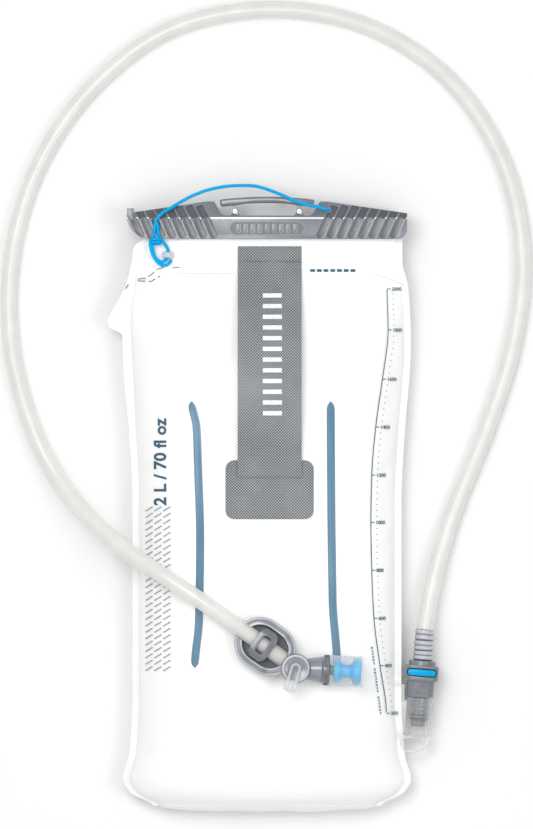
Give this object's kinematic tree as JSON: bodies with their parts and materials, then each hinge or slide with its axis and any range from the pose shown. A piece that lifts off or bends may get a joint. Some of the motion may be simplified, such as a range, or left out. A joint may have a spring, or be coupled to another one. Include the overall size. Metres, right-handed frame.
{
  "type": "hydration bladder",
  "caption": "Soft water reservoir with a slide-clamp mouth, carry strap, quick-release drink tube, tube clip, shut-off and bite valve.",
  "frame": {"origin": "on the flat of the back film, on the surface that the bladder lies on, in the middle of its width", "axes": "+X to the right seen from the front, +Y towards the slide clamp, +Z out of the front film"},
  "size_m": [0.3078, 0.4711, 0.0607],
  "materials": {
    "film": "milky translucent soft film",
    "weld_strip": "printed blue weld strip, satin",
    "soft_clear": "soft clear moulding",
    "clear_moulding": "clear glossy moulding",
    "tube_clear": "milky clear hose, glossy",
    "elastic_cord": "braided elastic cord",
    "webbing": "grey webbing with a fine diagonal weave",
    "hard_grey": "satin moulded grey plastic",
    "hard_white": "satin white plastic",
    "seal": "black rubber",
    "spring_steel": "bright wire",
    "pin_steel": "satin steel pin",
    "blue_silicone": "soft translucent blue silicone",
    "button_blue": "bright blue satin plastic"
  },
  "bodies": {
    "reservoir": {"front_panel": "film", "back_panel": "film", "base_gusset": "film", "baffle_left": "weld_strip", "baffle_right": "weld_strip", "mouth_rail_front": "soft_clear", "mouth_rail_back": "soft_clear", "tether_tab": "soft_clear", "tether_loop": "elastic_cord", "carry_strap": "webbing", "strap_anchor_patch": "webbing", "outlet_port": "clear_moulding", "port_cartridge": "hard_grey", "cartridge_o_ring_upper": "seal", "cartridge_o_ring_lower": "seal", "stem_o_ring": "seal", "poppet_spring": "spring_steel"},
    "slider": {"slider_clamp": "hard_grey", "hanger_bar": "hard_grey", "hanger_pin_left": "pin_steel", "hanger_pin_right": "pin_steel", "tether_cord": "elastic_cord"},
    "hose": {"coupler_body": "hard_grey", "button_spring": "spring_steel", "drink_tube": "tube_clear", "valve_housing": "hard_grey", "valve_collar": "hard_grey", "bite_valve": "blue_silicone"},
    "release_button": {"release_button": "button_blue"},
    "shutoff": {"shutoff_barrel": "hard_grey", "shutoff_lever": "clear_moulding"},
    "valve_cover": {"bite_valve_cover": "clear_moulding"},
    "clip": {"tube_clip": "hard_grey"},
    "poppet": {"poppet": "hard_white"}
  },
  "joints": [
    {"name": "clamp_slide", "type": "slide", "parent": "reservoir", "child": "slider", "axis": [-1, 0, 0], "range_m": [0, 0.17]},
    {"name": "coupling_pull", "type": "slide", "parent": "reservoir", "child": "hose", "axis": [0.0806, 0.9967, 0], "range_m": [0, 0.018]},
    {"name": "button_press", "type": "slide", "parent": "hose", "child": "release_button", "axis": [0, 0, -1], "range_m": [0, 0.0015], "stiffness_N_per_m": 300, "deforming": ["button_spring"]},
    {"name": "shutoff_turn", "type": "hinge", "parent": "hose", "child": "shutoff", "pos_m": [0.0166, -0.0941, 0.0495], "axis": [0, 0, 1], "range_deg": [0, 90]},
    {"name": "cover_pull", "type": "slide", "parent": "hose", "child": "valve_cover", "axis": [0.9984, -0.0565, 0], "range_m": [0, 0.022]},
    {"name": "clip_slide", "type": "slide", "parent": "hose", "child": "clip", "axis": [-0.816, 0.5781, 0], "range_m": [0, 0.02]},
    {"name": "poppet_travel", "type": "slide", "parent": "reservoir", "child": "poppet", "axis": [0.0806, 0.9967, 0], "range_m": [0, 0.00337]}
  ],
  "couplings": [
    {"joint": "poppet_travel", "follows": "coupling_pull", "ratio": 0.1875}
  ]
}
